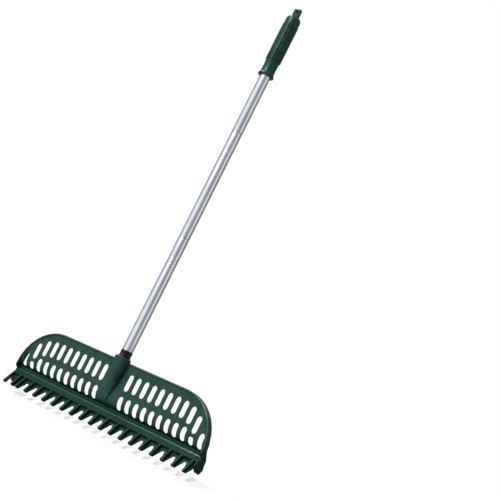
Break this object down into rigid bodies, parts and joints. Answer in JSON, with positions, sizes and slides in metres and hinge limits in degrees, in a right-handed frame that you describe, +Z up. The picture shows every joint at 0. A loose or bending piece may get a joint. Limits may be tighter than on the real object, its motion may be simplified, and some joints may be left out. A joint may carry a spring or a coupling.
{
  "type": "turf rake",
  "caption": "Upright turf rake: a slotted moulded head with a row of raking tines beside a brush row, on a screw-jointed steel handle with a grip and hanging tab.",
  "frame": {"origin": "centre of the box round the rake, on the floor that its tine tips and bristle tips stand on", "axes": "+X along the head, +Y towards the brush side, +Z up along the handle, whose axis is X = 0, Y = -0.008"},
  "size_m": [0.502, 0.0501, 0.928],
  "materials": {
    "green_plastic": "satin moulded, lightly mottled",
    "dark_green_plastic": "satin moulded",
    "white_bristle": "translucent bristles in a white backing",
    "black_plastic": "satin moulded",
    "pin_plastic": "satin moulded",
    "steel_tube": "bright drawn tube",
    "steel_fastener": "bright plated"
  },
  "bodies": {
    "head": {"head": "green_plastic", "brush_strip": "white_bristle", "brush_pin_1": "pin_plastic", "brush_pin_2": "pin_plastic", "brush_pin_3": "pin_plastic", "brush_pin_4": "pin_plastic", "brush_pin_5": "pin_plastic", "brush_pin_6": "pin_plastic", "brush_pin_7": "pin_plastic"},
    "handle_lower": {"handle_plug": "black_plastic", "collar": "black_plastic", "collar_washer": "steel_fastener", "collar_screw": "steel_fastener", "lower_tube": "steel_tube", "lower_tube_socket": "black_plastic"},
    "handle_middle": {"middle_tube_plug": "black_plastic", "middle_tube": "steel_tube", "middle_tube_socket": "black_plastic"},
    "handle_upper": {"upper_tube_plug": "black_plastic", "upper_tube": "steel_tube", "grip": "dark_green_plastic"}
  },
  "joints": [
    {"name": "head_thread", "type": "hinge", "parent": "head", "child": "handle_lower", "pos_m": [0, -0.008, 0.1435], "axis": [0, 0, 1], "range_deg": [0, 2520]},
    {"name": "lower_tube_thread", "type": "hinge", "parent": "handle_lower", "child": "handle_middle", "pos_m": [0, -0.008, 0.402], "axis": [0, 0, 1], "range_deg": [0, 1800]},
    {"name": "upper_tube_thread", "type": "hinge", "parent": "handle_middle", "child": "handle_upper", "pos_m": [0, -0.008, 0.64], "axis": [0, 0, 1], "range_deg": [0, 1800]}
  ]
}
